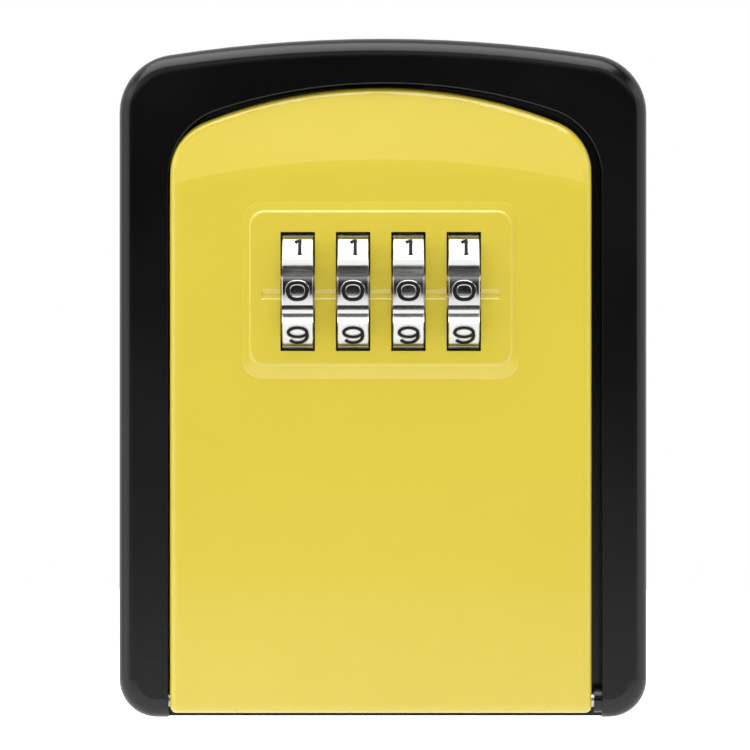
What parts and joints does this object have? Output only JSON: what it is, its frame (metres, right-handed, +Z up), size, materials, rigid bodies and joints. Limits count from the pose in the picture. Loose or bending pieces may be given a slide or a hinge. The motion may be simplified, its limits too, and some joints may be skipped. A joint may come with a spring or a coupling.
{
  "type": "key lock box",
  "caption": "Wall-mounted key safe: cast housing with a bottom-hinged door, number wheels behind windows, latch, code change lever and key hook.",
  "frame": {"origin": "middle of the housing's base, at the box's bottom centre", "axes": "+Z up, -Y out of the door, +Y into the wall, +X to the right seen from the front"},
  "size_m": [0.094, 0.04, 0.121],
  "materials": {
    "black_powder_coat": "satin",
    "yellow_enamel": "gloss",
    "wheel_chrome": "polished",
    "pin_steel": "satin",
    "plated_steel": "satin",
    "screw_steel": "satin",
    "spring_steel": "satin",
    "latch_steel": "satin",
    "cast_zinc": "matte",
    "lever_zinc": "satin",
    "sleeve_brass": "satin"
  },
  "bodies": {
    "box": {"housing": "black_powder_coat", "hinge_pins": "pin_steel", "key_hook": "plated_steel", "hook_screw": "screw_steel"},
    "door": {"door_panel": "yellow_enamel", "lock_chassis": "cast_zinc", "chassis_screws": "screw_steel", "lock_cover": "plated_steel", "cover_screws": "screw_steel", "detent_spring": "spring_steel", "detent_rivets": "pin_steel", "latch_springs": "spring_steel", "sleeve_return_spring": "spring_steel"},
    "wheel_1": {"number_wheel_1": "wheel_chrome"},
    "sleeve_1": {"code_sleeve_1": "sleeve_brass"},
    "wheel_2": {"number_wheel_2": "wheel_chrome"},
    "sleeve_2": {"code_sleeve_2": "sleeve_brass"},
    "wheel_3": {"number_wheel_3": "wheel_chrome"},
    "sleeve_3": {"code_sleeve_3": "sleeve_brass"},
    "wheel_4": {"number_wheel_4": "wheel_chrome"},
    "sleeve_4": {"code_sleeve_4": "sleeve_brass"},
    "shaft": {"wheel_shaft": "pin_steel", "shaft_clips": "spring_steel"},
    "latch": {"latch_slide": "latch_steel"},
    "lever": {"change_lever": "lever_zinc", "lever_clip": "spring_steel"}
  },
  "joints": [
    {"name": "door_hinge", "type": "hinge", "parent": "box", "child": "door", "pos_m": [0, -0.0118, 0.0031], "axis": [1, 0, 0], "range_deg": [0, 105]},
    {"name": "wheel_1_turn", "type": "hinge", "parent": "door", "child": "wheel_1", "pos_m": [-0.01511, -0.0068, 0.0758], "axis": [1, 0, 0], "continuous": true},
    {"name": "sleeve_1_shift", "type": "slide", "parent": "wheel_1", "child": "sleeve_1", "axis": [1, 0, 0], "range_m": [0, 0.00161]},
    {"name": "wheel_2_turn", "type": "hinge", "parent": "door", "child": "wheel_2", "pos_m": [-0.0053, -0.0068, 0.0758], "axis": [1, 0, 0], "continuous": true},
    {"name": "sleeve_2_shift", "type": "slide", "parent": "wheel_2", "child": "sleeve_2", "axis": [1, 0, 0], "range_m": [0, 0.00161]},
    {"name": "wheel_3_turn", "type": "hinge", "parent": "door", "child": "wheel_3", "pos_m": [0.00451, -0.0068, 0.0758], "axis": [1, 0, 0], "continuous": true},
    {"name": "sleeve_3_shift", "type": "slide", "parent": "wheel_3", "child": "sleeve_3", "axis": [1, 0, 0], "range_m": [0, 0.00161]},
    {"name": "wheel_4_turn", "type": "hinge", "parent": "door", "child": "wheel_4", "pos_m": [0.01431, -0.0068, 0.0758], "axis": [1, 0, 0], "continuous": true},
    {"name": "sleeve_4_shift", "type": "slide", "parent": "wheel_4", "child": "sleeve_4", "axis": [1, 0, 0], "range_m": [0, 0.00161]},
    {"name": "shaft_shift", "type": "slide", "parent": "door", "child": "shaft", "axis": [1, 0, 0], "range_m": [0, 0.0016], "deforming": ["sleeve_return_spring"]},
    {"name": "latch_travel", "type": "slide", "parent": "door", "child": "latch", "axis": [0, 0, 1], "range_m": [0, 0.003], "deforming": ["latch_springs"]},
    {"name": "change_lever_turn", "type": "hinge", "parent": "door", "child": "lever", "pos_m": [-0.0212, 0.0098, 0.07704], "axis": [0, -1, 0], "range_deg": [0, 70]}
  ],
  "couplings": [
    {"joint": "sleeve_1_shift", "follows": "shaft_shift", "ratio": 1},
    {"joint": "sleeve_2_shift", "follows": "shaft_shift", "ratio": 1},
    {"joint": "sleeve_3_shift", "follows": "shaft_shift", "ratio": 1},
    {"joint": "sleeve_4_shift", "follows": "shaft_shift", "ratio": 1},
    {"joint": "change_lever_turn", "follows": "shaft_shift", "rad_per_m": 763.5}
  ]
}
